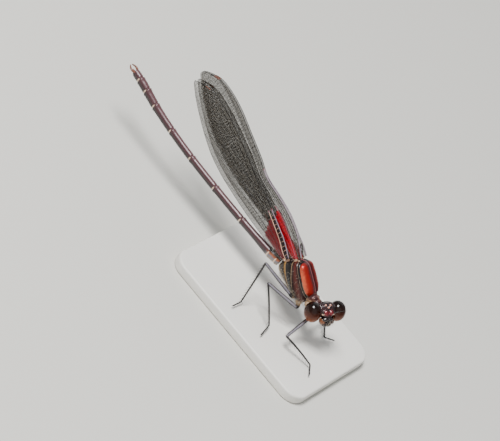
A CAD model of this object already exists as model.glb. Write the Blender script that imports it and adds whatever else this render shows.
import bpy
import numpy as np
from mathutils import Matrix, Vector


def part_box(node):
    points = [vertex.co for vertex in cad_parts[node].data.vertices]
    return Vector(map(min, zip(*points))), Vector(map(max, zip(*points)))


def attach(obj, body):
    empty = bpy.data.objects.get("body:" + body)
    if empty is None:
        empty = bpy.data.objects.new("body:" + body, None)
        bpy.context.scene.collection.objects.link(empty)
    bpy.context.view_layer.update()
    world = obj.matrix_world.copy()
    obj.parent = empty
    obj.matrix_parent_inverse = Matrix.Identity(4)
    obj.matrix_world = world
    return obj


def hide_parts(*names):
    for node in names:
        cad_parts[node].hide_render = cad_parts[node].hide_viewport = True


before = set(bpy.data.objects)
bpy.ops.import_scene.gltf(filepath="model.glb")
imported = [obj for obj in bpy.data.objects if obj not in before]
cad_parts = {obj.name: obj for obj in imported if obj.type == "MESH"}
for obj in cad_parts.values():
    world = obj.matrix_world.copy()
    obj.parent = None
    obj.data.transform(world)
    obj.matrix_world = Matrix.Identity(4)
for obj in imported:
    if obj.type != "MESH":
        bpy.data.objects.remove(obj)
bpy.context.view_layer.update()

# Camera
# The view is from the animal's right, well above it and a little ahead, rolled so
# that the animal heads down to the right. All places below are millimetres from
# the middle of the thorax, with x ahead, y to the animal's left and z up.
MM = 0.001
THORAX_FRONT, THORAX_TOP = 2.65, 2.75
_, thorax_high = (np.array(corner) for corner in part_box("synthorax"))
body_zero = np.array(
    [thorax_high[0] - THORAX_FRONT * MM, 0.0, thorax_high[2] - THORAX_TOP * MM]
)
VIEW_AZIMUTH, VIEW_ELEVATION, HEADING_IN_PICTURE = np.radians([12.0, 35.0, -50.0])
VIEW_DISTANCE, PIXELS_PER_MM = 372.0, 7.4
PICTURE_WIDTH, PICTURE_HEIGHT, SENSOR = 500, 441, 36.0
BODY_PIXEL = np.array([300.0, 280.0])

towards = np.array(
    [
        np.sin(VIEW_AZIMUTH) * np.cos(VIEW_ELEVATION),
        -np.cos(VIEW_AZIMUTH) * np.cos(VIEW_ELEVATION),
        np.sin(VIEW_ELEVATION),
    ]
)
level_right = np.array([np.cos(VIEW_AZIMUTH), np.sin(VIEW_AZIMUTH), 0.0])
level_up = np.cross(towards, level_right)
roll = HEADING_IN_PICTURE - np.arctan2(level_up[0], level_right[0])
right = np.cos(roll) * level_right - np.sin(roll) * level_up
up = np.sin(roll) * level_right + np.cos(roll) * level_up
aside = (BODY_PIXEL - np.array([PICTURE_WIDTH, PICTURE_HEIGHT]) / 2) / PIXELS_PER_MM
eye_point = body_zero + MM * (VIEW_DISTANCE * towards - aside[0] * right + aside[1] * up)

camera_data = bpy.data.cameras.new("camera")
camera_data.sensor_width = SENSOR
camera_data.lens = SENSOR * PIXELS_PER_MM * VIEW_DISTANCE / PICTURE_WIDTH
camera_data.clip_start, camera_data.clip_end = 0.01, 20.0
camera = bpy.data.objects.new("camera", camera_data)
camera_turn = np.eye(4)
camera_turn[:3, 0], camera_turn[:3, 1], camera_turn[:3, 2] = right, up, towards
camera_turn[:3, 3] = eye_point
camera.matrix_world = camera_turn.T.tolist()
bpy.context.collection.objects.link(camera)
bpy.context.scene.camera = camera

# Floor and light
# A plain pale matt floor, a soft lamp close above the animal, a wide weak one beside
# the camera and another beyond the animal, and an even pale surround.


def linear(hex_colour):
    """Turns an sRGB hex colour into linear light, by the sRGB curve."""
    srgb = np.array([int(hex_colour[i : i + 2], 16) for i in (1, 3, 5)]) / 255
    light = np.where(srgb <= 0.04045, srgb / 12.92, ((srgb + 0.055) / 1.055) ** 2.4)
    return (*light.tolist(), 1.0)


def add_node(tree, kind, inputs=(), stops=(), **settings):
    """Adds a node with its settings; an input is a value or another node's output,
    and the stops of a colour ramp are pairs of a place and an sRGB hex colour."""
    node = tree.nodes.new(kind)
    for key, value in settings.items():
        setattr(node, key, value)
    for key, value in dict(inputs).items():
        if isinstance(value, bpy.types.NodeSocket):
            tree.links.new(value, node.inputs[key])
        else:
            node.inputs[key].default_value = value
    if stops:
        elements = node.color_ramp.elements
        while len(elements) < len(stops):
            elements.new(1.0)
        for element, (place, colour) in zip(elements, stops):
            element.position, element.color = place, linear(colour)
    return node


def new_material(name, **shader):
    """Makes a material whose shader has the given plain values."""
    material = bpy.data.materials.new(name)
    material.use_nodes = True
    tree = material.node_tree
    surface = tree.nodes["Principled BSDF"]
    for key, value in shader.items():
        surface.inputs[key.replace("_", " ").title().replace("Ior", "IOR")].default_value = value
    return material, tree, surface


FLOOR_HALF = 1.5
floor_mesh = bpy.data.meshes.new("floor")
floor_mesh.from_pydata(
    [(x * FLOOR_HALF, y * FLOOR_HALF, 0.0) for x, y in ((-1, -1), (1, -1), (1, 1), (-1, 1))],
    [],
    [(0, 1, 2, 3)],
)
floor = bpy.data.objects.new("floor", floor_mesh)
floor_finish, _, _ = new_material("matt_paper", base_color=linear("#CFCDC6"), roughness=0.9)
floor_mesh.materials.append(floor_finish)
bpy.context.collection.objects.link(floor)


def add_lamp(name, place, size, watts):
    """A square soft lamp that faces the body."""
    data = bpy.data.lights.new(name, "AREA")
    data.shape, data.size, data.energy = "SQUARE", size, watts
    lamp = bpy.data.objects.new(name, data)
    out = np.array(place) / np.linalg.norm(place)
    side = np.cross([0.0, 0.0, 1.0], out)
    side /= np.linalg.norm(side)
    turn = np.eye(4)
    turn[:3, 0], turn[:3, 1], turn[:3, 2] = side, np.cross(out, side), out
    turn[:3, 3] = body_zero + np.array(place)
    lamp.matrix_world = turn.T.tolist()
    bpy.context.collection.objects.link(lamp)


add_lamp("key_lamp", (-0.12, -0.16, 0.42), 0.16, 3.8)
add_lamp("fill_lamp", (0.5, -0.6, 0.6), 1.2, 2.0)
add_lamp("rim_lamp", (-0.4, 0.9, 0.6), 1.2, 3.0)
world = bpy.data.worlds.new("surround")
world.use_nodes = True
world.node_tree.nodes["Background"].inputs["Color"].default_value = linear("#DDE2E6")
world.node_tree.nodes["Background"].inputs["Strength"].default_value = 0.45
bpy.context.scene.world = world

# Winged part of the thorax
# Two fused rings of hard cuticle that slope forward, so that their seams run down
# and ahead. The front is a pair of polished red panels on either side of a keel,
# and the flanks are dark with thin pale lines along the seams.


def smooth_through(x, stations, values):
    """Cubic curve through the stations, each slope being that of its neighbours."""
    stations, values = np.asarray(stations, float), np.asarray(values, float)
    x = np.asarray(x, float)
    i = np.clip(np.searchsorted(stations, x) - 1, 0, len(stations) - 2)
    before, after = np.maximum(i - 1, 0), np.minimum(i + 2, len(stations) - 1)
    span = stations[i + 1] - stations[i]
    t = (x - stations[i]) / span
    slope_in = (values[i + 1] - values[before]) / (stations[i + 1] - stations[before]) * span
    slope_out = (values[after] - values[i]) / (stations[after] - stations[i]) * span
    return (
        (2 * t**3 - 3 * t**2 + 1) * values[i]
        + (t**3 - 2 * t**2 + t) * slope_in
        + (3 * t**2 - 2 * t**3) * values[i + 1]
        + (t**3 - t**2) * slope_out
    )


def grid_faces(rows, columns, wrap):
    """Quads of a grid of points, whose last column meets the first if wrap is set."""
    row = np.arange(rows - 1)[:, None]
    column = np.arange(columns if wrap else columns - 1)[None, :]
    beside = (column + 1) % columns
    corners = [row * columns + column, row * columns + beside]
    corners += [(row + 1) * columns + beside, (row + 1) * columns + column]
    return np.stack(np.broadcast_arrays(*corners), -1).reshape(-1, 4)


def closed_skin(points):
    """Points on a grid, wrapped round its columns, with a fan closing each end."""
    rows, columns = points.shape[:2]
    flat = points.reshape(-1, 3)
    vertices = np.vstack([flat, points[0].mean(0), points[-1].mean(0)])
    ring = np.arange(columns)
    beside = (ring + 1) % columns
    first, last = np.full(columns, rows * columns), np.full(columns, rows * columns + 1)
    start = np.stack([first, beside, ring], -1)
    base = (rows - 1) * columns
    end = np.stack([last, base + ring, base + beside], -1)
    return vertices, grid_faces(rows, columns, True), np.vstack([start, end])


def join_parts(parts):
    """Joins lists of vertices, quads and triangles into one of each."""
    vertices, quads, triangles, count = [], [], [], 0
    for points, four, three in parts:
        vertices.append(points)
        quads.append(four + count)
        triangles.append(three + count)
        count += len(points)
    return np.vstack(vertices), np.vstack(quads), np.vstack(triangles)


def outward(vertices, quads, triangles):
    """Turns every face over if the closed surface's signed volume is negative."""
    corners = np.vstack([quads[:, [0, 1, 2]], quads[:, [0, 2, 3]], triangles])
    a, b, c = (vertices[corners[:, k]] for k in range(3))
    if np.einsum("ij,ij->i", a, np.cross(b, c)).sum() < 0:
        return vertices, quads[:, ::-1], triangles[:, ::-1]
    return vertices, quads, triangles


def add_piece(name, shape, material, nodes, attributes=()):
    """Makes one smooth mesh in the frame's metres, and says what it stands for."""
    vertices, quads, triangles = shape
    mesh = bpy.data.meshes.new(name)
    loops = np.concatenate([quads.ravel(), triangles.ravel()]).astype(np.int32)
    sizes = np.concatenate([np.full(len(quads), 4), np.full(len(triangles), 3)])
    starts = np.concatenate([[0], np.cumsum(sizes)[:-1]])
    mesh.vertices.add(len(vertices))
    mesh.vertices.foreach_set("co", (vertices * MM + body_zero).astype(np.float32).ravel())
    mesh.loops.add(len(loops))
    mesh.loops.foreach_set("vertex_index", loops)
    mesh.polygons.add(len(sizes))
    mesh.polygons.foreach_set("loop_start", starts.astype(np.int32))
    mesh.polygons.foreach_set("use_smooth", np.ones(len(sizes), bool))
    for key, values in dict(attributes).items():
        layer = mesh.attributes.new(key, "FLOAT", "POINT")
        layer.data.foreach_set("value", np.asarray(values, np.float32).ravel())
    mesh.update(calc_edges=True)
    mesh.validate()
    mesh.materials.append(material)
    piece = bpy.data.objects.new(name, mesh)
    bpy.context.collection.objects.link(piece)
    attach(piece, "root")
    if nodes:
        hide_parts(*nodes)
    return piece


THORAX_X = [-3.45, -3.1, -2.5, -1.7, -0.75, 0.3, 1.3, 2.1, 2.65]
THORAX_UPPER = [0.2, 0.8, 1.65, 2.45, 2.75, 2.25, 1.65, 1.15, 0.7]
THORAX_LOWER = [-1.0, -1.2, -1.4, -1.65, -1.85, -2.05, -2.2, -2.1, -1.6]
THORAX_HALF = [0.6, 1.1, 1.45, 1.6, 1.75, 1.8, 1.72, 1.45, 0.95]
BACK_SQUARENESS, BELLY_SQUARENESS = 0.65, 0.85
SEAM_DEPTH, KEEL_HEIGHT, KEEL_WIDTH = 0.06, 0.09, 0.07
THORAX_ROWS, THORAX_COLUMNS, END_CROWDING = 150, 260, 0.06
PANEL_SWELL, PANEL_FROM, PANEL_TO, PANEL_ROUND = 0.12, -2.75, 1.95, 0.5
KEEL_BORDER, PANEL_SLOPE, SEAM_WIDTH = 0.14, 0.45, 0.09
# The pale hem lies along the first seam, and fades out towards the back.
HEM_SEAM, HEM_WIDTH, HEM_FADE, HEM_START = -0.02, 0.035, 0.8, 0.6
# Seams on the flank, as height at mid length and slope along the seam's own way.
SEAMS = [(1.36, 0.145), (1.08, 0.155), (-0.40, -0.09), (-1.26, 0.05), (-1.75, 0.35)]
SEAM_WAY = np.array([0.743, -0.669])


def thorax_surface(x, angle):
    """A section with curves along x for its top, bottom and half width, whose cosine
    and, above, sine are raised to a power below one, so that it is blunter than round."""
    top, bottom, half = (
        smooth_through(x, THORAX_X, values)
        for values in (THORAX_UPPER, THORAX_LOWER, THORAX_HALF)
    )
    rise, out = np.sin(angle), np.cos(angle)
    flatness = np.where(rise > 0, BACK_SQUARENESS, BELLY_SQUARENESS)
    y = np.sign(out) * np.abs(out) ** flatness * half
    rise = np.where(rise > 0, np.abs(rise) ** BACK_SQUARENESS, rise)
    return np.stack([x, y, (top + bottom) / 2 + (top - bottom) / 2 * rise], -1)


def seam_number(points):
    """How many seams lie above a point of the flank, and how far along them it is. A seam
    is a straight line, the share between two is linear, and it is below zero on the panel."""
    along = points[..., 0] * SEAM_WAY[0] + points[..., 2] * SEAM_WAY[1]
    across = -points[..., 0] * SEAM_WAY[1] + points[..., 2] * SEAM_WAY[0]
    heights = [start + slope * along for start, slope in SEAMS]
    number = heights[0] - across
    for k, (above, below) in enumerate(zip(heights, heights[1:])):
        share = (above - across) / np.maximum(above - below, 0.05)
        number = np.where(across < above, k + np.clip(share, 0, 1), number)
    return number, along


spread = np.linspace(0, 1, THORAX_ROWS)
spread = spread - END_CROWDING * np.sin(2 * np.pi * spread)
x, angle = np.meshgrid(
    THORAX_X[0] + (THORAX_X[-1] - THORAX_X[0]) * spread,
    np.linspace(0, 2 * np.pi, THORAX_COLUMNS, endpoint=False),
    indexing="ij",
)
thorax_points = thorax_surface(x, angle)
seam, seam_along = seam_number(thorax_points)
seam_groove = sum(np.exp(-(((seam - k) / SEAM_WIDTH) ** 2)) for k in (0, 1, 2, 3))
keel = np.exp(-((thorax_points[..., 1] / KEEL_WIDTH) ** 2)) * (np.sin(angle) > 0)
normal = np.cross(np.gradient(thorax_points, axis=0), np.gradient(thorax_points, axis=1))
normal /= np.linalg.norm(normal, axis=-1, keepdims=True)
middle_line = np.array([0.0, 0.0, 0.3])
normal *= np.sign(((thorax_points - middle_line) * normal).sum(-1, keepdims=True).mean())
from_keel = np.abs(thorax_points[..., 1]) - KEEL_BORDER
into_panel = np.clip(np.minimum(from_keel, -seam) / PANEL_SLOPE, 0, 1)
to_ends = np.clip(np.minimum(seam_along - PANEL_FROM, PANEL_TO - seam_along) / PANEL_ROUND, 0, 1)
on_panel = np.sqrt(np.clip(into_panel * to_ends, 0, 1)) * (np.sin(angle) > 0)
swell = KEEL_HEIGHT * keel - SEAM_DEPTH * seam_groove + PANEL_SWELL * on_panel
thorax_points += normal * swell[..., None]
hem = np.exp(-(((seam - HEM_SEAM) / HEM_WIDTH) ** 2))
hem *= np.clip(seam_along / HEM_FADE + HEM_START, 0, 1)


def with_ends(values):
    """Values of the grid's points, with the mean of each end ring for its fan point."""
    return np.append(values.ravel(), [values[0].mean(), values[-1].mean()])


cuticle, tree, surface = new_material(
    "polished_cuticle",
    roughness=0.34,
    coat_weight=0.12,
    coat_roughness=0.2,
    specular_ior_level=0.35,
)
# The hard skin is smooth and slightly metallic, and its fine shagreen softens the
# highlights. Noise scales are per metre: 2600 mottles it every 0.4 mm, and the shagreen's
# 9000 is a grain of 0.1 mm.
coordinates = add_node(tree, "ShaderNodeTexCoord").outputs["Object"]
seam_read = add_node(tree, "ShaderNodeAttribute", attribute_name="seam").outputs["Fac"]
keel_read = add_node(tree, "ShaderNodeAttribute", attribute_name="beside_keel").outputs["Fac"]
mottle = add_node(
    tree, "ShaderNodeTexNoise", {"Vector": coordinates, "Scale": 2600.0, "Detail": 4.0}
)
centred = add_node(
    tree, "ShaderNodeMath", {0: mottle.outputs["Fac"], 1: 0.5}, operation="SUBTRACT"
)
wobble = add_node(
    tree,
    "ShaderNodeMath",
    {0: centred.outputs[0], 1: 0.12, 2: seam_read},
    operation="MULTIPLY_ADD",
)
# The ramp starts one seam above the first and covers six.
SEAM_SCALE = 6.0
to_band = add_node(
    tree,
    "ShaderNodeMapRange",
    {"Value": wobble.outputs[0], "From Min": -1.0, "From Max": SEAM_SCALE - 1.0},
)
BAND_COLOURS = [
    (-0.1, "#0C0707"), (0.8, "#0C0808"), (0.9, "#0C0808"), (0.95, "#A08670"),
    (1.01, "#8C7260"), (1.04, "#120808"), (1.4, "#501810"), (1.75, "#2A0E0A"),
    (1.93, "#0E0808"), (1.96, "#A08264"), (2.01, "#8C6C4C"), (2.05, "#0E0808"),
    (2.82, "#140C0A"), (2.88, "#A07A48"), (3.06, "#8C6634"), (3.16, "#1C140E"),
    (3.8, "#2E2216"), (4.0, "#7A6444"),
]
bands = add_node(
    tree,
    "ShaderNodeValToRGB",
    {"Fac": to_band.outputs[0]},
    [((place + 1.0) / SEAM_SCALE, colour) for place, colour in BAND_COLOURS],
)
keel_edge = add_node(
    tree, "ShaderNodeMapRange", {"Value": keel_read, "From Min": 0.06, "From Max": 0.11}
)
panel_read = add_node(tree, "ShaderNodeAttribute", attribute_name="panel").outputs["Fac"]
panel_edge = add_node(
    tree, "ShaderNodeMapRange", {"Value": panel_read, "From Min": 0.3, "From Max": 0.42}
)
PANEL_WIDTH = 1.8
PANEL_COLOURS = [
    (0.1, "#1C0505"), (0.45, "#5A0C0A"), (0.85, "#8A140E"), (1.3, "#94200F"), (1.6, "#CC5A38"),
]
mottled = add_node(
    tree, "ShaderNodeMath", {0: centred.outputs[0], 1: 0.5, 2: keel_read}, operation="MULTIPLY_ADD"
)
to_red = add_node(
    tree,
    "ShaderNodeMapRange",
    {"Value": mottled.outputs[0], "From Min": 0.0, "From Max": PANEL_WIDTH},
)
reds = add_node(
    tree,
    "ShaderNodeValToRGB",
    {"Fac": to_red.outputs[0]},
    [(place / PANEL_WIDTH, colour) for place, colour in PANEL_COLOURS],
)
with_panel = add_node(
    tree,
    "ShaderNodeMix",
    {"Factor": panel_edge.outputs[0], 6: bands.outputs[0], 7: reds.outputs[0]},
    data_type="RGBA",
)
hem_read = add_node(tree, "ShaderNodeAttribute", attribute_name="hem").outputs["Fac"]
with_hem = add_node(
    tree,
    "ShaderNodeMix",
    {"Factor": hem_read, 6: with_panel.outputs[2], 7: linear("#C8A488")},
    data_type="RGBA",
)
panel = add_node(
    tree,
    "ShaderNodeMix",
    {"Factor": keel_edge.outputs[0], 6: linear("#8A4C52"), 7: with_hem.outputs[2]},
    data_type="RGBA",
)
tree.links.new(panel.outputs[2], surface.inputs["Base Color"])
panel_metal = add_node(
    tree,
    "ShaderNodeMapRange",
    {"Value": panel_read, "From Min": 0.3, "From Max": 0.42, "To Min": 0.1, "To Max": 0.35},
)
tree.links.new(panel_metal.outputs[0], surface.inputs["Metallic"])
shagreen = add_node(
    tree, "ShaderNodeTexNoise", {"Vector": coordinates, "Scale": 9000.0, "Detail": 3.0}
)
bump = add_node(
    tree,
    "ShaderNodeBump",
    {"Height": shagreen.outputs["Fac"], "Strength": 0.25, "Distance": 0.00003},
)
tree.links.new(bump.outputs[0], surface.inputs["Normal"])
add_piece(
    "thorax_skin",
    outward(*closed_skin(thorax_points)),
    cuticle,
    ["synthorax"],
    {
        "seam": with_ends(seam),
        "beside_keel": with_ends(np.where(np.sin(angle) > 0, np.abs(thorax_points[..., 1]), 1.0)),
        "panel": with_ends(on_panel),
        "hem": with_ends(hem),
    },
)

# Neck and front ring
# The small first ring of the thorax, between the neck and the winged part: dark
# bronze cuticle raised in three lobes, with a tan side, narrowing to a thin neck.
NECK_START, NECK_END, NECK_Z, NECK_HALF, NECK_HEIGHT = 2.35, 4.75, -0.3, 1.0, 0.85
NECK_TAPER, NECK_TAPER_POWER, NECK_INSET, DIMPLE_DEPTH = 0.5, 1.6, 0.06, 0.04
LOBES = [(2.75, 0.2, 0.16), (3.35, 0.28, 0.14), (3.95, 0.2, 0.1)]
x, angle = np.meshgrid(
    np.linspace(NECK_START, NECK_END, 120),
    np.linspace(0, 2 * np.pi, 120, endpoint=False),
    indexing="ij",
)
share = (x - NECK_START) / (NECK_END - NECK_START)
swell = sum(rise * np.exp(-(((x - place) / width) ** 2)) for place, width, rise in LOBES)
girth = 1 - NECK_TAPER * share**NECK_TAPER_POWER + swell * (0.5 + 0.5 * np.sin(angle)) - NECK_INSET
dimple = DIMPLE_DEPTH * np.sin(5 * angle) * np.sin(9 * x)
neck_points = np.stack(
    [
        x,
        NECK_HALF * girth * np.cos(angle) * (1 + dimple),
        NECK_Z + NECK_HEIGHT * girth * np.sin(angle) * (1 + dimple),
    ],
    -1,
)
collar_cuticle, tree, surface = new_material(
    "ribbed_cuticle", roughness=0.34, metallic=0.25, coat_weight=0.4, coat_roughness=0.2
)
# Dark bronze that turns tan low on the side, with coarse dimples, about 0.5 mm wide,
# that break the gloss.
coordinates = add_node(tree, "ShaderNodeTexCoord").outputs["Object"]
low_side = add_node(tree, "ShaderNodeAttribute", attribute_name="low_side").outputs["Fac"]
stains = add_node(
    tree, "ShaderNodeTexNoise", {"Vector": coordinates, "Scale": 1800.0, "Detail": 5.0}
)
tan_edge = add_node(
    tree,
    "ShaderNodeMath",
    {0: stains.outputs["Fac"], 1: 0.9, 2: low_side},
    operation="MULTIPLY_ADD",
)
bronze = add_node(
    tree,
    "ShaderNodeValToRGB",
    {"Fac": tan_edge.outputs[0]},
    [(0.3, "#1A0F10"), (0.62, "#4A1C1C"), (1.0, "#B08A66")],
)
tree.links.new(bronze.outputs[0], surface.inputs["Base Color"])
dimples = add_node(
    tree, "ShaderNodeBump", {"Height": stains.outputs["Fac"], "Strength": 0.5, "Distance": 0.00008}
)
tree.links.new(dimples.outputs[0], surface.inputs["Normal"])
add_piece(
    "front_ring",
    outward(*closed_skin(neck_points)),
    collar_cuticle,
    ["prothorax"],
    {"low_side": with_ends(0.5 - 0.55 * np.sin(angle) - 0.2 * np.cos(2 * angle))},
)

# Head
# A short wide capsule of bronze-red cuticle between the eyes: a wrinkled crown with
# three simple eyes, two shiny bulges over the face, and the mouth as pieces below.
HEAD_AT = np.array([5.5, 0.0, -0.17])
head_left = np.array([0.49, 0.82, 0.30])
head_left /= np.linalg.norm(head_left)
head_ahead = np.array([0.66, -0.56, 0.50])
head_ahead -= head_left * (head_ahead @ head_left)
head_ahead /= np.linalg.norm(head_ahead)
head_axes = np.stack([head_ahead, head_left, np.cross(head_ahead, head_left)])
CAPSULE = [
    ((-0.05, 0.0, 0.28), (1.1, 1.88, 1.12)),
    ((0.6, 0.0, 0.0), (0.66, 0.95, 0.52)),
    ((0.92, 0.42, 0.25), (0.36, 0.38, 0.36)),
    ((0.92, -0.42, 0.25), (0.36, 0.38, 0.36)),
    ((0.72, 0.0, -0.22), (0.56, 0.72, 0.3)),
    ((0.85, 0.78, 0.12), (0.26, 0.22, 0.26)),
    ((0.85, -0.78, 0.12), (0.26, 0.22, 0.26)),
]
BLEND, FOLD_DEPTH, HOLLOW_DEPTH = 16.0, 0.035, 0.07


def ball_ways(rows, columns):
    """Directions over a sphere whose poles lie to the left and the right."""
    tip, turn = np.meshgrid(
        np.linspace(0.02, np.pi - 0.02, rows),
        np.linspace(0, 2 * np.pi, columns, endpoint=False),
        indexing="ij",
    )
    return np.stack([np.sin(tip) * np.cos(turn), np.cos(tip), np.sin(tip) * np.sin(turn)], -1)


def lump_reach(ways, centre, half):
    """How far a ray from the middle of the head runs until it leaves an ellipsoid, which
    is the larger root of a quadratic, or zero where the ray misses it."""
    ray, start = ways / np.array(half), np.array(centre) / np.array(half)
    a, b = (ray**2).sum(-1), (ray * start).sum(-1)
    inside = b**2 - a * ((start**2).sum() - 1)
    return np.where(inside > 0, (b + np.sqrt(np.maximum(inside, 0))) / a, 0.0)


def near(points, centre, width):
    """One at the centre and falling off around it as a bell of the given width."""
    return np.exp(-((np.linalg.norm(points - np.array(centre), axis=-1) / width) ** 2))


def in_body(points):
    """Turns a place in the head's own axes into one in the body's."""
    return HEAD_AT + points @ head_axes


ways = ball_ways(170, 240)
reach = np.log(sum(np.exp(BLEND * lump_reach(ways, *lump)) for lump in CAPSULE)) / BLEND
head_points = ways * reach[..., None]
# Folds across the crown, hollows between its bulges, and where brows and cheeks lie.
fold = np.sin(11 * head_points[..., 0] + 3 * np.sin(5 * head_points[..., 1]))
fold *= np.sin(9 * head_points[..., 1] + 2 * head_points[..., 2])
crown = np.clip(head_points[..., 2] * 1.6 - 0.5, 0, 1)
hollows = near(head_points, (0.75, 0.0, 0.55), 0.22) + near(head_points, (1.15, 0, 0.2), 0.14)
head_points *= (1 + FOLD_DEPTH * fold * crown - HOLLOW_DEPTH * hollows)[..., None]
brow = near(head_points, (1.2, 0.42, 0.25), 0.32) + near(head_points, (1.2, -0.42, 0.25), 0.32)
cheek = near(head_points, (1.05, 0.78, 0.05), 0.24) + near(head_points, (1.05, -0.78, 0.05), 0.24)
hard_head, tree, surface = new_material(
    "wrinkled_cuticle", roughness=0.26, metallic=0.45, coat_weight=0.6, coat_roughness=0.1
)
# Metallic bronze-red where it bulges and near black elsewhere, in a grain of 0.3 mm,
# with cream spots where the feelers start.
coordinates = add_node(tree, "ShaderNodeTexCoord").outputs["Object"]
brow_read = add_node(tree, "ShaderNodeAttribute", attribute_name="brow").outputs["Fac"]
cheek_read = add_node(tree, "ShaderNodeAttribute", attribute_name="cheek").outputs["Fac"]
grain = add_node(
    tree, "ShaderNodeTexNoise", {"Vector": coordinates, "Scale": 3200.0, "Detail": 4.0}
)
mixed = add_node(
    tree, "ShaderNodeMath", {0: grain.outputs["Fac"], 1: 0.8, 2: brow_read}, operation="MULTIPLY_ADD"
)
bronze = add_node(
    tree,
    "ShaderNodeValToRGB",
    {"Fac": mixed.outputs[0]},
    [(0.3, "#12080A"), (0.58, "#3A1216"), (1.0, "#7C1E26")],
)
spots = add_node(
    tree, "ShaderNodeMapRange", {"Value": cheek_read, "From Min": 0.45, "From Max": 0.6}
)
skin_colour = add_node(
    tree,
    "ShaderNodeMix",
    {"Factor": spots.outputs[0], 6: bronze.outputs[0], 7: linear("#D8B296")},
    data_type="RGBA",
)
tree.links.new(skin_colour.outputs[2], surface.inputs["Base Color"])
dents = add_node(
    tree, "ShaderNodeBump", {"Height": grain.outputs["Fac"], "Strength": 0.5, "Distance": 0.00006}
)
tree.links.new(dents.outputs[0], surface.inputs["Normal"])
vertices, quads, triangles = closed_skin(head_points)
add_piece(
    "head_capsule",
    outward(in_body(vertices), quads, triangles),
    hard_head,
    ["head"],
    {"brow": with_ends(brow), "cheek": with_ends(cheek)},
)

# Simple eyes of the crown
# Three clear domes in a triangle on top of the head, each a lens over a pale cup.
OCELLUS_RADIUS = 0.15
OCELLI = [(0.86, 0.0, 0.93), (0.6, 0.34, 1.17), (0.6, -0.34, 1.17)]
dome = ball_ways(24, 32) * OCELLUS_RADIUS
lens, _, _ = new_material(
    "clear_lens_cuticle", base_color=linear("#C98A74"), roughness=0.06, coat_weight=1.0
)
# Wet-looking amber beads, each with one small bright glint.
domes = [outward(*closed_skin(in_body(dome + np.array(place)))) for place in OCELLI]
add_piece("simple_eyes", join_parts(domes), lens, [])

# Compound eyes
# Two large domes of thousands of facets, near black above and amber below, which
# bulge out on either side of the head. The facets are drawn twice as coarse as real.
EYE_HALF = np.array([1.2, 1.2, 1.45])
EYE_AT = np.array([-0.1, 1.82, 0.0])
FACET_MM = 0.05
faceted, tree, surface = new_material(
    "faceted_cornea", roughness=0.1, specular_ior_level=0.35
)
# A dark wet dome with a faint net of facets and a brown glow along its lower rim.
coordinates = add_node(tree, "ShaderNodeTexCoord").outputs["Object"]
level_read = add_node(tree, "ShaderNodeAttribute", attribute_name="level").outputs["Fac"]
EYE_COLOURS = [
    (0.0, "#A8641E"), (0.2, "#7E3A0C"), (0.48, "#481A04"), (0.74, "#200A03"), (1.0, "#0E0503"),
]
glow = add_node(tree, "ShaderNodeValToRGB", {"Fac": level_read}, EYE_COLOURS)
tree.links.new(glow.outputs[0], surface.inputs["Base Color"])
facets = add_node(
    tree,
    "ShaderNodeTexVoronoi",
    {"Vector": coordinates, "Scale": 1000.0 / FACET_MM, "Randomness": 0.2},
)
net = add_node(
    tree,
    "ShaderNodeBump",
    {"Height": facets.outputs["Distance"], "Strength": 0.2, "Distance": 0.00001},
)
tree.links.new(net.outputs[0], surface.inputs["Normal"])
for name, side in (("left", 1), ("right", -1)):
    eye_points = ball_ways(90, 130) * EYE_HALF + EYE_AT * np.array([1, side, 1])
    height = (eye_points[..., 2] / EYE_HALF[2] + eye_points[..., 0] * 0.25 + 1) / 2
    add_piece(
        f"compound_eye_{name}",
        outward(*closed_skin(in_body(eye_points))),
        faceted,
        [f"eye_{name}"],
        {"level": with_ends(height)},
    )

# Mouth
# An upper lip, a pair of jaws and a lower lip, hard glossy plates that close on one
# another below the face. Their bristles come with the down, near the end.


def stained_horn(name, dark, pale, scale, detail, **shader):
    """Horn that varies between two colours by a cloudy noise of so many turns a metre."""
    material, tree, surface = new_material(name, **shader)
    coordinates = add_node(tree, "ShaderNodeTexCoord").outputs["Object"]
    cloud = add_node(
        tree, "ShaderNodeTexNoise", {"Vector": coordinates, "Scale": scale, "Detail": detail}
    )
    tone = add_node(
        tree,
        "ShaderNodeMix",
        {"Factor": cloud.outputs["Fac"], 6: linear(dark), 7: linear(pale)},
        data_type="RGBA",
    )
    tree.links.new(tone.outputs[2], surface.inputs["Base Color"])
    return material


MOUTH_PLATES = [
    ("upper_lip", (0.85, 0.0, -0.72), (0.52, 0.86, 0.34), "#1C0E10"),
    ("jaw_left", (0.72, 0.66, -1.05), (0.46, 0.42, 0.46), "#4A2414"),
    ("jaw_right", (0.72, -0.66, -1.05), (0.46, 0.42, 0.46), "#9A5424"),
    ("lower_lip", (0.66, 0.0, -1.45), (0.5, 0.72, 0.45), "#33201A"),
]
for name, centre, half, colour in MOUTH_PLATES:
    plate_ways = ball_ways(50, 70)
    cleft = 1 - 0.1 * np.exp(-((plate_ways[..., 1] / 0.12) ** 2)) * (plate_ways[..., 0] > 0)
    plate_points = np.sign(plate_ways) * np.abs(plate_ways) ** 0.85 * cleft[..., None]
    plate_points = plate_points * np.array(half) + np.array(centre)
    horn_finish = {"roughness": 0.22, "coat_weight": 0.6, "coat_roughness": 0.1}
    mouth_plate = stained_horn(f"{name}_cuticle", "#140A0A", colour, 2500.0, 3.0, **horn_finish)
    # Smooth horn-like cuticle whose colour darkens in cloudy stains of about 0.4 mm.
    replaced = ["mouthparts"] if name == "upper_lip" else []
    add_piece(name, outward(*closed_skin(in_body(plate_points))), mouth_plate, replaced)

# Feelers
# Two short bristle-like feelers, each with two thick joints and a fine tapering
# thread, set beside the face.


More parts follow.
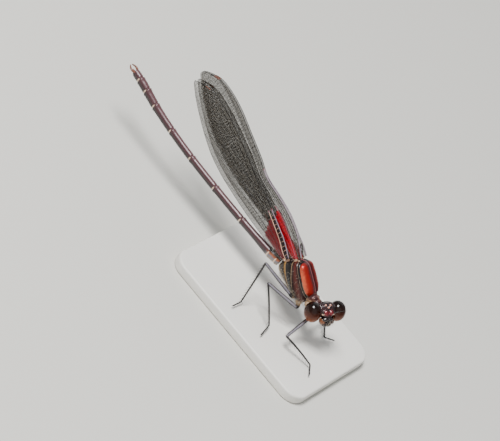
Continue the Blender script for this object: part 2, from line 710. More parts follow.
def tubes(paths, radii, sides=6):
    """Circles carried along each of many paths, with a fan closing both ends."""
    paths = np.asarray(paths, float)
    count, steps = paths.shape[:2]
    radii = np.broadcast_to(radii, (count, steps))
    way = np.gradient(paths, axis=1)
    way /= np.linalg.norm(way, axis=-1, keepdims=True)
    guide = np.eye(3)[np.argmin(np.abs(paths[:, -1] - paths[:, 0]), axis=1)][:, None]
    across = np.cross(way, guide)
    across /= np.linalg.norm(across, axis=-1, keepdims=True)
    over = np.cross(across, way)
    turn = np.linspace(0, 2 * np.pi, sides, endpoint=False)[:, None]
    ring = np.cos(turn) * across[..., None, :] + np.sin(turn) * over[..., None, :]
    rings = paths[:, :, None] + radii[..., None, None] * ring
    vertices = np.concatenate([rings.reshape(count, -1, 3), paths[:, [0, -1]]], 1)
    first = (np.arange(count) * (steps * sides + 2))[:, None, None]
    near_side = np.arange(sides)
    beside, base = (near_side + 1) % sides, (steps - 1) * sides
    start = np.stack([np.full(sides, steps * sides), beside, near_side], -1)
    end = np.stack([np.full(sides, steps * sides + 1), base + near_side, base + beside], -1)
    quads = (grid_faces(steps, sides, True)[None] + first).reshape(-1, 4)
    triangles = (np.vstack([start, end])[None] + first).reshape(-1, 3)
    return outward(vertices.reshape(-1, 3), quads, triangles)


def on_tubes(values, sides):
    """Gives each ring's value to its points, and the end rings' to the end points."""
    rings = np.repeat(values[..., None], sides, axis=-1).reshape(len(values), -1)
    return np.concatenate([rings, values[:, [0, -1]]], 1).ravel()


FEELER_START, FEELER_AIM, FEELER_LENGTH = (0.98, 0.72, 0.2), (0.75, 0.45, 0.5), 2.3
FEELER_SAG = 0.22
FEELER_ALONG = [0.0, 0.12, 0.16, 0.32, 0.36, 0.6, 1.0]
FEELER_RADII = [0.17, 0.17, 0.1, 0.11, 0.045, 0.035, 0.015]
feeler_horn, _, _ = new_material(
    "dark_horn_cuticle", base_color=linear("#1C1312"), roughness=0.4, coat_weight=0.3
)
# Plain dark horn that is dull beside the polished head.
share = np.linspace(0, 1, 48)
for name, side in (("left", 1), ("right", -1)):
    mirror = np.array([1, side, 1])
    aim = np.array(FEELER_AIM) / np.linalg.norm(FEELER_AIM)
    bend = FEELER_SAG * share[:, None] ** 2 * np.array([0.3, 0.2, -1.0])
    path = (np.array(FEELER_START) + FEELER_LENGTH * share[:, None] * aim + bend) * mirror
    add_piece(
        f"feeler_{name}",
        tubes([in_body(path)], np.interp(share, FEELER_ALONG, FEELER_RADII), 10),
        feeler_horn,
        [f"antenna_{name}"],
    )

# Abdomen
# Ten rings in a row, each a tube of thin hard cuticle: reddish mauve above, near black
# below, and parted by soft cream rings that stop short of the back.
ABDOMEN_START = np.array([-3.7, 0.0, -0.52])
RINGS = [
    (0.6, -14.0, 0.76), (1.4, -8.0, 0.72), (6.0, -1.5, 0.55), (5.75, 0.5, 0.53), (5.25, 2.0, 0.53),
    (4.65, 5.0, 0.53), (4.1, 8.5, 0.55), (2.35, 13.0, 0.62), (1.8, 12.0, 0.64), (1.25, 8.0, 0.58),
]
RIM_RISE, NECK_IN, RIM_WIDTH, NECK_WIDTH = 0.05, 0.09, 0.22, 0.1
TIP_LENGTH, TIP_GIRTH, GIRTH_ACROSS, GIRTH_UP = 0.2, 0.85, 0.96, 1.04
PALE_AT, PALE_WIDTH, BASE_FADE = 0.02, 0.11, 0.5
ring_length, ring_pitch, ring_radius = (np.array(column) for column in zip(*RINGS))
pitch = np.radians(ring_pitch)
ring_way = np.stack([-np.cos(pitch), np.zeros(len(pitch)), np.sin(pitch)], -1)
joint_at = np.vstack([ABDOMEN_START, ABDOMEN_START + np.cumsum(ring_way * ring_length[:, None], 0)])
joint_along = np.concatenate([[0.0], np.cumsum(ring_length)])
# Rows stand evenly along the whole length, with more of them round each joint.
round_joints = [joint + np.linspace(-0.3, 0.3, 19) for joint in joint_along]
along = np.concatenate([np.linspace(0, joint_along[-1], 220)] + round_joints)
along = np.unique(along.clip(0, joint_along[-1]))
centre = np.stack([np.interp(along, joint_along, joint_at[:, k]) for k in range(3)], -1)
centre[:, 2] = smooth_through(along, joint_along, joint_at[:, 2])
middles = (joint_along[:-1] + joint_along[1:]) / 2
girth = np.interp(along, middles, ring_radius)
to_joint = along[:, None] - joint_along[None, 1:-1]
behind = to_joint[np.arange(len(along)), np.argmin(np.abs(to_joint), axis=1)]
profile = girth + RIM_RISE * np.exp(-(((behind + RIM_WIDTH) / RIM_WIDTH) ** 2))
profile -= NECK_IN * np.exp(-((behind / NECK_WIDTH) ** 2))
profile *= np.where(along > joint_along[-1] - TIP_LENGTH, TIP_GIRTH, 1.0)
angle = np.linspace(0, 2 * np.pi, 44, endpoint=False)
abdomen_points = np.stack(
    [
        np.broadcast_to(centre[:, :1], (len(along), len(angle))),
        profile[:, None] * GIRTH_ACROSS * np.cos(angle),
        centre[:, 2:] + profile[:, None] * GIRTH_UP * np.sin(angle),
    ],
    -1,
)
up_side = np.broadcast_to(np.sin(angle), abdomen_points.shape[:2])
pale = np.exp(-(((behind - PALE_AT) / PALE_WIDTH) ** 2))[:, None] * np.clip(1.3 - 1.6 * up_side, 0, 1)
near_base = np.clip(1 - (along - joint_along[2]) / BASE_FADE, 0, 1)[:, None] * np.ones(len(angle))
ring_cuticle, tree, surface = new_material(
    "banded_cuticle", roughness=0.38, metallic=0.15, coat_weight=0.35, coat_roughness=0.25
)
# Satin mauve, paler along the back, with flecks of about 0.5 mm and dull cream rings.
coordinates = add_node(tree, "ShaderNodeTexCoord").outputs["Object"]
up_read = add_node(tree, "ShaderNodeAttribute", attribute_name="up_side").outputs["Fac"]
pale_read = add_node(tree, "ShaderNodeAttribute", attribute_name="pale").outputs["Fac"]
base_read = add_node(tree, "ShaderNodeAttribute", attribute_name="near_base").outputs["Fac"]
fleck = add_node(
    tree, "ShaderNodeTexNoise", {"Vector": coordinates, "Scale": 2200.0, "Detail": 4.0}
)
uneven = add_node(
    tree, "ShaderNodeMath", {0: fleck.outputs["Fac"], 1: 0.35, 2: up_read}, operation="MULTIPLY_ADD"
)
to_tone = add_node(
    tree, "ShaderNodeMapRange", {"Value": uneven.outputs[0], "From Min": -0.8, "From Max": 1.2}
)
SHADES = [
    (0.0, "#8A7462"), (0.12, "#181012"), (0.42, "#221518"), (0.62, "#3C2226"), (1.0, "#563438"),
]
BASE_SHADES = [
    (0.0, "#B8A48A"), (0.25, "#8C7C6E"), (0.5, "#6E6F78"), (0.68, "#92502E"), (0.86, "#1A1312"),
]
shade = add_node(tree, "ShaderNodeValToRGB", {"Fac": to_tone.outputs[0]}, SHADES)
base_shade = add_node(tree, "ShaderNodeValToRGB", {"Fac": to_tone.outputs[0]}, BASE_SHADES)
with_base = add_node(
    tree,
    "ShaderNodeMix",
    {"Factor": base_read, 6: shade.outputs[0], 7: base_shade.outputs[0]},
    data_type="RGBA",
)
pale_edge = add_node(
    tree, "ShaderNodeMapRange", {"Value": pale_read, "From Min": 0.35, "From Max": 0.6}
)
ringed = add_node(
    tree,
    "ShaderNodeMix",
    {"Factor": pale_edge.outputs[0], 6: with_base.outputs[2], 7: linear("#D9BFA5")},
    data_type="RGBA",
)
tree.links.new(ringed.outputs[2], surface.inputs["Base Color"])
flecked = add_node(
    tree, "ShaderNodeBump", {"Height": fleck.outputs["Fac"], "Strength": 0.3, "Distance": 0.00004}
)
tree.links.new(flecked.outputs[0], surface.inputs["Normal"])
add_piece(
    "abdomen_skin",
    outward(*closed_skin(abdomen_points)),
    ring_cuticle,
    [f"abdomen_{number:02d}" for number in range(1, 11)],
    {"up_side": with_ends(up_side), "pale": with_ends(pale), "near_base": with_ends(near_base)},
)

# Claspers
# A pair of curved hooks of red-brown horn at the tip of the abdomen, with a second
# short pair below them, which hold the female's neck.
CLASPER_LENGTH, CLASPER_OUT, CLASPER_RADIUS, CLASPER_TIP, CLASPER_BEND = 1.25, 0.3, 0.2, 0.07, 0.3
LOWER_LENGTH, LOWER_GIRTH = 0.55, 0.7
clasper_horn, _, _ = new_material(
    "red_brown_horn_cuticle", base_color=linear("#6E4030"), roughness=0.42, coat_weight=0.2
)
# Smooth horn, dull enough to catch only a soft streak along each hook.
share = np.linspace(0, 1, 30)
for name, side in (("left", 1), ("right", -1)):
    root = joint_at[-1] + np.array([0.12, side * CLASPER_OUT, 0.1])
    bow = side * CLASPER_BEND * np.sin(np.pi * share) - side * 0.12 * share**3
    upper = root + share[:, None] * CLASPER_LENGTH * ring_way[-1] + bow[:, None] * np.array([0, 1, 0])
    lower = root + share[:, None] * LOWER_LENGTH * CLASPER_LENGTH * ring_way[-1]
    lower = lower + np.array([0, -side * 0.1, -0.3])
    radii = CLASPER_RADIUS + (CLASPER_TIP - CLASPER_RADIUS) * share**1.5
    add_piece(
        f"claspers_{name}",
        tubes([upper, lower], [radii, LOWER_GIRTH * radii], 12),
        clasper_horn,
        [f"cercus_{name}"],
    )

# Wings
# Four glassy membranes stretched over a dense net of fine dark veins, folded together
# over the back. The bases are stained red, dark along the hind wing's front edge.
WING_PITCH, ROOT_BLEND, PLEAT, PLEATS = np.radians(14.1), 3.5, 0.035, 5.0
FORE = {
    "root": (-1.9, 2.5), "root_y": 0.62, "plane_y": 0.15, "end": 28.55, "patch_end": 7.2,
    "s": [0, 2, 5.5, 8.5, 11.7, 14.5, 18, 21.3, 24, 26.3, 27.8, 28.4, 28.6],
    "lead": [0.45, 1.15, 1.8, 1.77, 1.5, 2.05, 2.55, 3.0, 3.02, 2.55, 1.4, 0.7, 0.35],
    "trail": [-0.8, -1.15, -1.8, -2.4, -2.95, -3.3, -3.3, -2.85, -2.05, -1.15, -0.35, 0.05, 0.25],
    "radius": [(0, 0.36), (3, 0.27), (7, 0.2), (12, 0.15), (24, 0.12), (27.6, 0.07)],
    "bright": (-0.42, 0.137), "tints": (0.8, 0.2, 0.6), "pale_edge_to": 13.0,
}
HIND = {
    "root": (-3.1, 1.15), "root_y": 0.72, "plane_y": 0.45, "end": 27.15, "patch_end": 6.1,
    "s": [0, 2, 5.5, 8.5, 11.3, 14.3, 17.3, 20.3, 23, 25.2, 26.5, 27, 27.2],
    "lead": [0.25, 0.8, 1.3, 1.65, 1.7, 2.15, 2.5, 2.7, 2.6, 2.1, 1.2, 0.7, 0.5],
    "trail": [-0.9, -1.6, -2.3, -2.75, -3.05, -3.25, -3.1, -2.45, -1.6, -0.75, -0.1, 0.2, 0.4],
    "radius": [(0, 0.5), (0.75, 0.44), (3.35, 0.255), (6, 0.165), (12, 0.13), (24, 0.12), (26.5, 0.07)],
    "bright": (-0.38, 0.188), "tints": (0.8, 1.0, 0.4), "pale_edge_to": 7.0,
}
# Each vein behind the radius runs through places given as distance from the root and
# share of the way from the front to the hind edge, and its radius follows.
VEINS_BEHIND_RADIUS = [
    ([(8.4, 0.24), (14, 0.22), (22, 0.3), (27.6, 0.45)], 0.035),
    ([(12.5, 0.29), (20, 0.42), (27, 0.8)], 0.03),
    ([(9.6, 0.31), (16, 0.44), (22, 0.7), (25.6, 0.99)], 0.035),
    ([(8, 0.36), (14, 0.52), (20, 0.8), (23.4, 0.99)], 0.03),
    ([(3, 0.6), (8, 0.62), (14, 0.82), (17.6, 0.99)], 0.03),
    ([(0, 0.8), (5, 0.76), (10, 0.84), (13.8, 0.99)], 0.035),
    ([(0, 0.99), (28.5, 0.99)], 0.03),
]
STEM = [(0, 0.68), (0.8, 0.62), (3.3, 0.5), (6.7, 0.34), (10, 0.44), (16, 0.74), (20.6, 0.99)]
WIDEST_CELL, CELL_LENGTH, FRONT_CELL_LENGTH = 0.62, 0.46, 0.63
CELL_VEIN, FRONT_CELL_VEIN, BRANCH_VEIN = 0.017, 0.034, 0.022
# A gap more than this many times the widest cell gets a branch vein down its middle,
# from this far out, where the branch runs for enough of the steps along the wing.
SPLIT_OVER, BRANCHES_FROM, SHORTEST_BRANCH, REACH_STEPS = 1.45, 3.0, 60, 1140


def wing_place(wing, side, s, share):
    """A place in a wing's pleated plane, at distance s out and a share of its width. The
    height runs evenly from front to hind edge, the place sideways eases from the root's
    to the folded wing's, and the pleats are a cosine across that fades behind."""
    lead, trail = (smooth_through(s, wing["s"], wing[key]) for key in ("lead", "trail"))
    height = lead + (trail - lead) * share
    blend = np.clip(s / ROOT_BLEND, 0, 1)
    blend = blend * blend * (3 - 2 * blend)
    y = wing["root_y"] + (wing["plane_y"] - wing["root_y"]) * blend
    y = y + PLEAT * np.cos(2 * np.pi * PLEATS * share) * np.clip(1.1 - share, 0, 1)
    x = wing["root"][0] - s * np.cos(WING_PITCH) + height * np.sin(WING_PITCH)
    z = wing["root"][1] + s * np.sin(WING_PITCH) + height * np.cos(WING_PITCH)
    return np.stack([x, side * y, z], -1), height


def soft_step(values, width):
    """Rises from 0 to 1 as the values go from minus to plus the width."""
    return np.clip(0.5 + values / (2 * width), 0, 1)


PATCH_CURVE, PATCH_BEHIND, PATCH_EDGE, LINE_EDGE = 0.81, 0.86, 0.12, 0.04
FLUSH_RED, FLUSH_ABOVE, FLUSH_TO = 0.7, 0.35, 2.6
MARK_FROM_END, MARK_HALF_LENGTH, MARK_WIDTH = 1.75, 0.4, 0.1


def stains_at(wing, s, share, height):
    """How red and how dark a place is, and how far it is in the mark near the wing's tip,
    each from 0 to 1. Below a slanting line the root is red, out to a curved ragged edge.
    Above it the hind wing is dark, and the fore wing has a short paler flush."""
    line = wing["bright"][0] + wing["bright"][1] * s
    under = line - height
    edge = wing["patch_end"] - PATCH_CURVE * np.clip(under, 0, 3) ** (1 if wing is HIND else 2)
    ragged = 0.12 * np.sin(9 * height) + 0.08 * np.sin(23 * height)
    within = soft_step(edge + ragged - s, PATCH_EDGE) * soft_step(PATCH_BEHIND - share, 0.05)
    red = soft_step(under, LINE_EDGE) * within
    dark = np.zeros_like(red)
    if wing is HIND:
        dark = soft_step(-under, LINE_EDGE) * soft_step(wing["patch_end"] - s, 0.3)
    else:
        flush = soft_step(under + FLUSH_ABOVE, 0.05) * soft_step(FLUSH_TO - s, 0.3)
        red = np.maximum(red, FLUSH_RED * flush)
    from_mark = np.abs(s - wing["end"] + MARK_FROM_END)
    mark = soft_step(MARK_HALF_LENGTH - from_mark, 0.05) * (share < MARK_WIDTH)
    return red, dark, mark


membrane, tree, surface = new_material(
    "smoky_chitin_film", roughness=0.3, specular_ior_level=0.25
)
# A clear smoky film that dims what is behind it, thicker at its margins, turning to
# glossy opaque red and black at the root. Its blotches are about 1 mm wide, and fine
# wrinkles of 0.2 mm scatter the highlights.
coordinates = add_node(tree, "ShaderNodeTexCoord").outputs["Object"]
red_read, dark_read, mark_read = (
    add_node(tree, "ShaderNodeAttribute", attribute_name=key).outputs["Fac"]
    for key in ("red", "dark", "mark")
)
depth_read = add_node(tree, "ShaderNodeAttribute", attribute_name="deep").outputs["Fac"]
blotch = add_node(
    tree, "ShaderNodeTexNoise", {"Vector": coordinates, "Scale": 900.0, "Detail": 3.0}
)
patch_red = add_node(
    tree,
    "ShaderNodeMix",
    {"Factor": depth_read, 6: linear("#B00018"), 7: linear("#400208")},
    data_type="RGBA",
)
stained = add_node(
    tree,
    "ShaderNodeMix",
    {"Factor": red_read, 6: linear("#38322A"), 7: patch_red.outputs[2]},
    data_type="RGBA",
)
darkened = add_node(
    tree,
    "ShaderNodeMix",
    {"Factor": dark_read, 6: stained.outputs[2], 7: linear("#16090C")},
    data_type="RGBA",
)
marked = add_node(
    tree,
    "ShaderNodeMix",
    {"Factor": mark_read, 6: darkened.outputs[2], 7: linear("#A0685A")},
    data_type="RGBA",
)
tree.links.new(marked.outputs[2], surface.inputs["Base Color"])
film = add_node(
    tree,
    "ShaderNodeMapRange",
    {
        "Value": blotch.outputs["Fac"],
        "From Min": 0.3, "From Max": 0.7, "To Min": 0.42, "To Max": 0.54,
    },
)
thick_read = add_node(tree, "ShaderNodeAttribute", attribute_name="thick").outputs["Fac"]
thickened = add_node(
    tree,
    "ShaderNodeMix",
    {"Factor": thick_read, "A": film.outputs[0], "B": 0.66},
    data_type="FLOAT",
)
solid_share = add_node(tree, "ShaderNodeMath", {0: red_read, 1: dark_read}, operation="MAXIMUM")
solid_share = add_node(
    tree, "ShaderNodeMath", {0: solid_share.outputs[0], 1: mark_read}, operation="MAXIMUM"
)
cover = add_node(
    tree,
    "ShaderNodeMix",
    {"Factor": solid_share.outputs[0], "A": thickened.outputs[0], "B": 0.97},
    data_type="FLOAT",
)
tree.links.new(cover.outputs[0], surface.inputs["Alpha"])
crinkle = add_node(
    tree, "ShaderNodeTexNoise", {"Vector": coordinates, "Scale": 5000.0, "Detail": 2.0}
)
crinkled = add_node(
    tree,
    "ShaderNodeBump",
    {"Height": crinkle.outputs["Fac"], "Strength": 0.35, "Distance": 0.00003},
)
tree.links.new(crinkled.outputs[0], surface.inputs["Normal"])

vein_horn, vein_tree, vein_surface = new_material("vein_cuticle", roughness=0.35, coat_weight=0.2)
# Dark horn threads that turn red, pink and cream where the wing is stained.
tint_read = add_node(vein_tree, "ShaderNodeAttribute", attribute_name="tint").outputs["Fac"]
RED_TINT, CREAM_TINT = 0.4, 1.0
TINTS = [
    (0.0, "#1A1512"), (0.2, "#453D37"), (RED_TINT, "#3C0608"),
    (0.6, "#A04458"), (0.8, "#948290"), (CREAM_TINT, "#D2A48E"),
]
tints = add_node(vein_tree, "ShaderNodeValToRGB", {"Fac": tint_read}, TINTS)
vein_tree.links.new(tints.outputs[0], vein_surface.inputs["Base Color"])

# How deep the red is, where the film is thick, how many points a vein is given, how it
# tapers, and how far the cross-veins stray from their even spacing.
MEMBRANE_ROWS, MEMBRANE_COLUMNS = 300, 61
HIND_DEPTH, FORE_DEPTH, FORE_RIPPLE = 0.85, 0.35, 14
THICK_FRONT, THICK_BEHIND, THICK_EDGE = 0.13, 0.8, 0.06
LONG_VEIN, LONG_VEIN_POINTS, SHORT_VEIN_POINTS, VEIN_TAPER = 500, 130, 60, 0.45
CELL_JITTER, SLANT, SMALLEST_CELL = 3, 0.03, 0.1
draw = np.random.default_rng(7)
for pair, wing in (("fore", FORE), ("hind", HIND)):
    reach = np.linspace(0, wing["end"], REACH_STEPS)
    lead, trail = (smooth_through(reach, wing["s"], wing[key]) for key in ("lead", "trail"))
    width = lead - trail
    subcosta_start = wing["patch_end"] if wing is HIND else 0.0
    costa_tint, radius_tint, stem_tint = wing["tints"]
    # The front edge, the vein just behind it, the radius, the stem of the veins that part
    # from it, and the rest, each with its places, its radius and its tint at the root.
    named = [
        ([(0, 0), (28.5, 0)], 0.075, costa_tint),
        ([(subcosta_start, 0.1), (11.8, 0.015)], 0.035, 0.2),
        (wing["radius"], 0.06, radius_tint),
        (STEM, 0.045, stem_tint),
    ] + [(places, radius, 0.0) for places, radius in VEINS_BEHIND_RADIUS]
    lines, thickness, root_tint = [], [], []
    for places, radius, tint in named:
        s_at, share_at = np.array(places, float).T
        share = smooth_through(reach, s_at, share_at)
        lines.append(np.where((reach >= s_at[0]) & (reach <= s_at[-1]), share, np.nan))
        thickness.append(radius)
        root_tint.append(tint)
    for _ in range(2):
        ordered = np.sort(np.array(lines), axis=0)
        for above, below in zip(ordered, ordered[1:]):
            wide = (below - above) * width > WIDEST_CELL * SPLIT_OVER
            wide &= reach > BRANCHES_FROM
            run = np.where(wide, (above + below) / 2, np.nan)
            if np.count_nonzero(wide) > SHORTEST_BRANCH:
                lines.append(run)
                thickness.append(BRANCH_VEIN)
                root_tint.append(0.0)
    lines = np.array(lines)
    for name, side in (("left", 1), ("right", -1)):
        s, share = np.meshgrid(
            np.linspace(0, wing["end"], MEMBRANE_ROWS),
            np.linspace(0, 1, MEMBRANE_COLUMNS),
            indexing="ij",
        )
        points, height = wing_place(wing, side, s, share)
        red, dark, mark = stains_at(wing, s, share, height)
        deep = np.full_like(red, HIND_DEPTH)
        if wing is FORE:
            deep = FORE_DEPTH * soft_step(np.sin(FORE_RIPPLE * s), 0.8)
        quads = grid_faces(*s.shape, False)
        normal = np.cross(points[1, 0] - points[0, 0], points[0, 1] - points[0, 0])
        if normal[1] * side < 0:
            quads = quads[:, ::-1]
        thick = np.maximum(
            soft_step(THICK_FRONT - share, THICK_EDGE), soft_step(share - THICK_BEHIND, THICK_EDGE)
        )
        fields = {"red": red, "dark": dark, "mark": mark, "deep": deep, "thick": thick}
        add_piece(
            f"{pair}_membrane_{name}",
            (points.reshape(-1, 3), quads, np.zeros((0, 3), int)),
            membrane,
            [f"{pair}wing_{name}"],
            {key: values.ravel() for key, values in fields.items()},
        )
        shapes, colours = [], []
        for number, (line, radius, tint) in enumerate(zip(lines, thickness, root_tint)):
            there = np.flatnonzero(~np.isnan(line))
            points_along = LONG_VEIN_POINTS if len(there) > LONG_VEIN else SHORT_VEIN_POINTS
            pick = there[np.linspace(0, len(there) - 1, points_along).astype(int)]
            path, height = wing_place(wing, side, reach[pick], line[pick])
            red, dark, _ = stains_at(wing, reach[pick], line[pick], height)
            fade_at = wing["pale_edge_to"] if number == 0 else wing["patch_end"] + 0.8
            colour = np.maximum(tint * soft_step(fade_at - reach[pick], 0.2), RED_TINT * red)
            taper = radius * (1 - VEIN_TAPER * reach[pick] / wing["end"])
            shapes.append(tubes([path], taper, 4))
            colours.append(on_tubes(colour[None], 4))
        ordered = np.sort(lines, axis=0)
        cross_paths, cross_tints, cross_radii = [], [], []
        for row, (above, below) in enumerate(zip(ordered, ordered[1:])):
            cell = FRONT_CELL_LENGTH if row == 0 else CELL_LENGTH
            spacing = int(cell / (reach[1] - reach[0]))
            pick = np.arange(draw.integers(5, spacing), len(reach) - 4, spacing)
            if row > 0:
                pick = pick + draw.integers(-CELL_JITTER, CELL_JITTER + 1, len(pick))
            gap = (below[pick] - above[pick]) * width[pick]
            pick = pick[~np.isnan(gap) & (gap > SMALLEST_CELL)]
            ends = np.stack([above[pick], below[pick]], -1)
            slant = draw.normal(0, SLANT, ends.shape)
            s = reach[pick][:, None] + slant
            path, height = wing_place(wing, side, s, ends)
            red, dark, _ = stains_at(wing, s.mean(1), ends.mean(1), height.mean(1))
            cross_paths.append(path)
            cross_tints.append(np.maximum(RED_TINT * red, CREAM_TINT * (dark > 0.5)))
            cross_radii.append(np.where(dark > 0.5, FRONT_CELL_VEIN, CELL_VEIN))
        cross_paths = np.concatenate(cross_paths)
        cross_tints = np.repeat(np.concatenate(cross_tints)[:, None], 2, axis=1)
        shapes.append(tubes(cross_paths, np.concatenate(cross_radii)[:, None], 3))
        colours.append(on_tubes(cross_tints, 3))
        add_piece(
            f"{pair}_veins_{name}",
            join_parts(shapes),
            vein_horn,
            [],
            {"tint": np.concatenate(colours)},
        )

# Wing roots
# Small tan and black plates of hard cuticle between the thorax and the wings, which
# the flight muscles pull on.
ROOT_PLATES = [
    ((-3.25, 0.66, 0.68), (0.36, 0.3, 0.2), "#A88464"),
    ((-2.85, 0.84, 1.1), (0.22, 0.2, 0.34), "#8C6A50"),
    ((-2.45, 0.7, 1.62), (0.2, 0.2, 0.36), "#2A1614"),
    ((-2.1, 0.74, 1.98), (0.26, 0.24, 0.36), "#B48E70"),
    ((-1.75, 0.62, 2.3), (0.3, 0.2, 0.16), "#9C7658"),
    ((-1.46, 0.7, 2.4), (0.14, 0.14, 0.16), "#120C0C"),
    ((-0.95, 0.7, 2.62), (0.16, 0.14, 0.16), "#120C0C"),
]
for number, (centre, half, colour) in enumerate(ROOT_PLATES):
    horn_finish = {"roughness": 0.4, "coat_weight": 0.3}
    horn = stained_horn(f"hinge_cuticle_{number}", "#4A3026", colour, 2500.0, 3.0, **horn_finish)
    # Dull horn with small brown stains.
    pieces = [
        outward(*closed_skin((ball_ways(22, 30) * np.array(half) + centre) * np.array([1, side, 1])))
        for side in (1, -1)
    ]
    add_piece(f"wing_root_plate_{number + 1}", join_parts(pieces), horn, [])

# Legs
# Six thin black legs, each a thigh and shin of about the same length and a short foot
# of three joints with two claws. Stiff spines stand along thigh and shin.
LEGS = {
    "front": [
        (3.2, 0.5, -0.85), (4.66, 0.8, -2.58), (4.89, 4.89, -4.18), (9.63, 3.15, -5.5), (10.73, 4.59, -5.62),
    ],
    "middle": [
        (2.0, 0.65, -1.8), (2.6, 1.3, -2.44), (-2.04, 4.47, -1.15), (2.11, 4.6, -5.5), (2.66, 7.15, -5.62),
    ],
    "hind": [
        (0.9, 0.7, -1.7), (1.08, 1.38, -1.8), (-4.13, 4.6, 0.75), (-2.63, 6.1, -5.5), (-2.72, 7.84, -5.62),
    ],
}
LEFT_SHIFT = {"front": (-2.3, 0.25), "middle": (0.5, 0.2), "hind": (-0.6, 0.3)}
THIGH_ALONG = [0, 0.08, 0.16, 0.22, 0.3, 0.8, 0.95, 1]
THIGH_RADII = [0.3, 0.34, 0.26, 0.22, 0.27, 0.22, 0.22, 0.16]
SHIN_RADII, FOOT_JOINTS, FOOT_RADIUS = (0.15, 0.11), 3, 0.1
LEG_SIDES, ROUNDINGS, BLOOM_FROM_RING = 16, 6, 12
SPINE_RADIUS, SPINE_LEAN, SPINES_IN_ROW = 0.028, 0.55, 14
FLOOR_Z = -5.8
leg_cuticle, tree, surface = new_material(
    "spined_leg_cuticle", roughness=0.36, coat_weight=0.5, coat_roughness=0.2
)
# Black horn, tan where each thigh starts, with a greyish bloom along its outer side
# that breaks up in specks of about 0.3 mm.
coordinates = add_node(tree, "ShaderNodeTexCoord").outputs["Object"]
bloom_read = add_node(tree, "ShaderNodeAttribute", attribute_name="bloom").outputs["Fac"]
tan_read = add_node(tree, "ShaderNodeAttribute", attribute_name="tan").outputs["Fac"]
speck = add_node(
    tree, "ShaderNodeTexNoise", {"Vector": coordinates, "Scale": 3000.0, "Detail": 4.0}
)
uneven = add_node(
    tree, "ShaderNodeMath", {0: speck.outputs["Fac"], 1: 0.3, 2: bloom_read}, operation="MULTIPLY_ADD"
)
bloomed = add_node(
    tree, "ShaderNodeMapRange", {"Value": uneven.outputs[0], "From Min": 0.8, "From Max": 1.05}
)
thigh_colour = add_node(
    tree,
    "ShaderNodeMix",
    {"Factor": bloomed.outputs[0], 6: linear("#171212"), 7: linear("#807A84")},
    data_type="RGBA",
)
leg_colour = add_node(
    tree,
    "ShaderNodeMix",
    {"Factor": tan_read, 6: thigh_colour.outputs[2], 7: linear("#B9976F")},
    data_type="RGBA",
)
tree.links.new(leg_colour.outputs[2], surface.inputs["Base Color"])
share = np.linspace(0, 1, 60)
